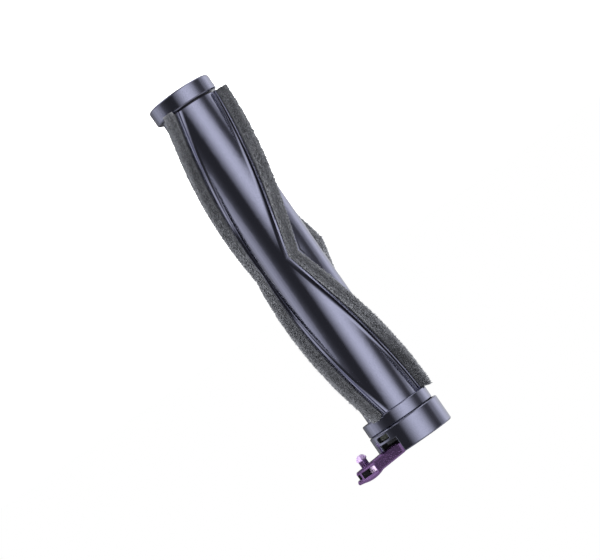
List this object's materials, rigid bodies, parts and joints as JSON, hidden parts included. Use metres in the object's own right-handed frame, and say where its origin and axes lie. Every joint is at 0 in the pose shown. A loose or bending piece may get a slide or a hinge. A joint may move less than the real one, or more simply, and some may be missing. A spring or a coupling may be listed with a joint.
{
  "type": "robot vacuum roller brush",
  "caption": "Roller brush for a robot vacuum: round barrel with raised chevron channels of soft pile, a flanged drive collar, and a bearing end cap with a hinged release lever.",
  "frame": {"origin": "centre of the drive socket's mouth, in the plane of the drive collar's end face", "axes": "+Z along the roller's axis from the drive collar to the end cap, +X the way the release lever reaches"},
  "size_m": [0.0615, 0.0479, 0.2227],
  "materials": {
    "shell": "metallic lilac grey, polished",
    "pile": "short soft pile, mid grey",
    "socket": "matte black",
    "bearing_steel": "ground steel",
    "ball_steel": "polished steel",
    "cage": "natural moulded nylon",
    "axle_steel": "turned steel",
    "felt": "dark olive felt",
    "lever": "metallic purple, polished"
  },
  "bodies": {
    "end_cap": {"end_cap": "shell", "axle": "axle_steel", "bearing_inner_race": "bearing_steel", "axle_washer": "axle_steel", "retaining_ring": "axle_steel", "dust_seal": "felt", "lever_pin": "axle_steel"},
    "roller": {"barrel": "shell", "pile_strip_a_lower": "pile", "pile_strip_a_upper": "pile", "pile_strip_b_lower": "pile", "pile_strip_b_upper": "pile", "pile_strip_c_lower": "pile", "pile_strip_c_upper": "pile", "drive_collar": "shell", "drive_socket": "socket", "end_ring": "shell", "bearing_outer_race": "bearing_steel", "bearing_balls": "ball_steel", "bearing_cage": "cage", "bearing_shield_inner": "bearing_steel", "bearing_shield_outer": "bearing_steel"},
    "release_lever": {"release_lever": "lever"}
  },
  "joints": [
    {"name": "roller_spin", "type": "hinge", "parent": "end_cap", "child": "roller", "pos_m": [0, 0, 0.2], "axis": [0, 0, 1], "continuous": true},
    {"name": "lever_swing", "type": "hinge", "parent": "end_cap", "child": "release_lever", "pos_m": [0.004, 0, 0.2166], "axis": [0, -1, 0], "range_deg": [0, 80]}
  ]
}
